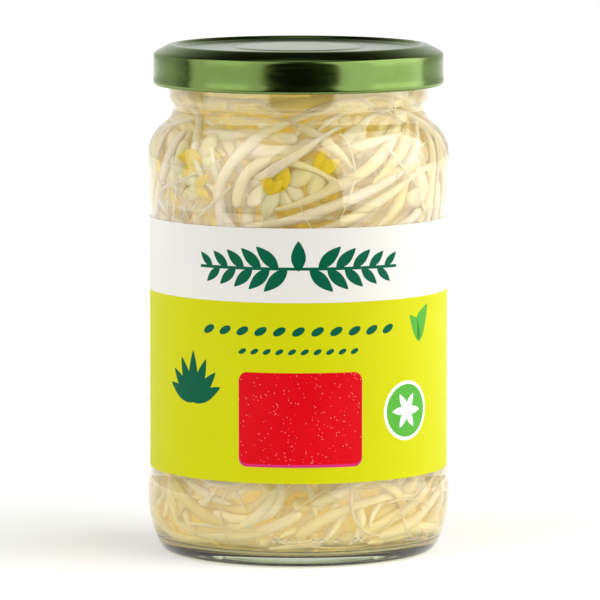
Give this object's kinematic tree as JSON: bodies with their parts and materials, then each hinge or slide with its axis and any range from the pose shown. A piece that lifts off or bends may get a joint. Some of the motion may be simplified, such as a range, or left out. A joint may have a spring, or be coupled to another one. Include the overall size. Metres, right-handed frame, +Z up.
{
  "type": "jar of bean sprouts",
  "caption": "Clear glass jar with a twist-off metal lid and a wrapped paper label, packed with pale mung bean sprouts in brine.",
  "frame": {"origin": "middle of the flat ring that the jar stands on", "axes": "+Z up the jar to the lid, -Y out of the front of the label, +X to the right seen from the front"},
  "size_m": [0.0726, 0.0726, 0.1217],
  "materials": {
    "clear_glass": "clear soda-lime glass, faintly green where it is thick",
    "green_lacquer": "transparent green lacquer on tin plate, satin and metallic",
    "sealing_compound": "soft cream sealing compound",
    "printed_paper": "coated paper printed lime green and white",
    "pale_brine": "clear amber liquid",
    "sprout_flesh": "wet, slightly see-through plant flesh"
  },
  "bodies": {
    "jar": {"glass_jar": "clear_glass", "paper_label": "printed_paper", "brine": "pale_brine", "sprout_pair_01": "sprout_flesh", "sprout_pair_02": "sprout_flesh", "sprout_pair_03": "sprout_flesh", "sprout_pair_04": "sprout_flesh", "sprout_pair_05": "sprout_flesh", "sprout_pair_06": "sprout_flesh", "sprout_pair_07": "sprout_flesh", "sprout_pair_08": "sprout_flesh", "sprout_pair_09": "sprout_flesh", "sprout_pair_10": "sprout_flesh", "sprout_pair_11": "sprout_flesh", "sprout_pair_12": "sprout_flesh", "sprout_pair_13": "sprout_flesh", "sprout_pair_14": "sprout_flesh", "sprout_pair_15": "sprout_flesh", "sprout_pair_16": "sprout_flesh", "sprout_pair_17": "sprout_flesh", "sprout_pair_18": "sprout_flesh", "sprout_pair_19": "sprout_flesh", "sprout_pair_20": "sprout_flesh", "sprout_pair_21": "sprout_flesh", "sprout_pair_22": "sprout_flesh", "sprout_pair_23": "sprout_flesh", "sprout_pair_24": "sprout_flesh", "sprout_pair_25": "sprout_flesh", "sprout_pair_26": "sprout_flesh", "sprout_pair_27": "sprout_flesh", "sprout_pair_28": "sprout_flesh", "sprout_pair_29": "sprout_flesh", "sprout_pair_30": "sprout_flesh", "sprout_pair_31": "sprout_flesh", "sprout_pair_32": "sprout_flesh", "sprout_pair_33": "sprout_flesh", "sprout_pair_34": "sprout_flesh", "sprout_pair_35": "sprout_flesh", "sprout_pair_36": "sprout_flesh", "sprout_pair_37": "sprout_flesh", "sprout_pair_38": "sprout_flesh", "sprout_pair_39": "sprout_flesh", "sprout_pair_40": "sprout_flesh", "sprout_pair_41": "sprout_flesh", "sprout_pair_42": "sprout_flesh", "sprout_pair_43": "sprout_flesh", "sprout_pair_44": "sprout_flesh", "sprout_pair_45": "sprout_flesh", "sprout_pair_46": "sprout_flesh", "sprout_pair_47": "sprout_flesh", "sprout_pair_48": "sprout_flesh", "sprout_pair_49": "sprout_flesh", "sprout_pair_50": "sprout_flesh", "sprout_pair_51": "sprout_flesh", "sprout_pair_52": "sprout_flesh", "sprout_pair_53": "sprout_flesh", "sprout_pair_54": "sprout_flesh"},
    "seal": {"lid_seal": "sealing_compound"},
    "lid": {"lid_shell": "green_lacquer"}
  },
  "joints": [
    {"name": "lid_rise", "type": "slide", "parent": "jar", "child": "seal", "axis": [0, 0, 1], "range_m": [0, 0.00117]},
    {"name": "lid_turn", "type": "hinge", "parent": "seal", "child": "lid", "pos_m": [0, 0, 0.116], "axis": [0, 0, 1], "range_deg": [0, 66]}
  ],
  "couplings": [
    {"joint": "lid_rise", "follows": "lid_turn", "m_per_rad": 0.0010106}
  ]
}
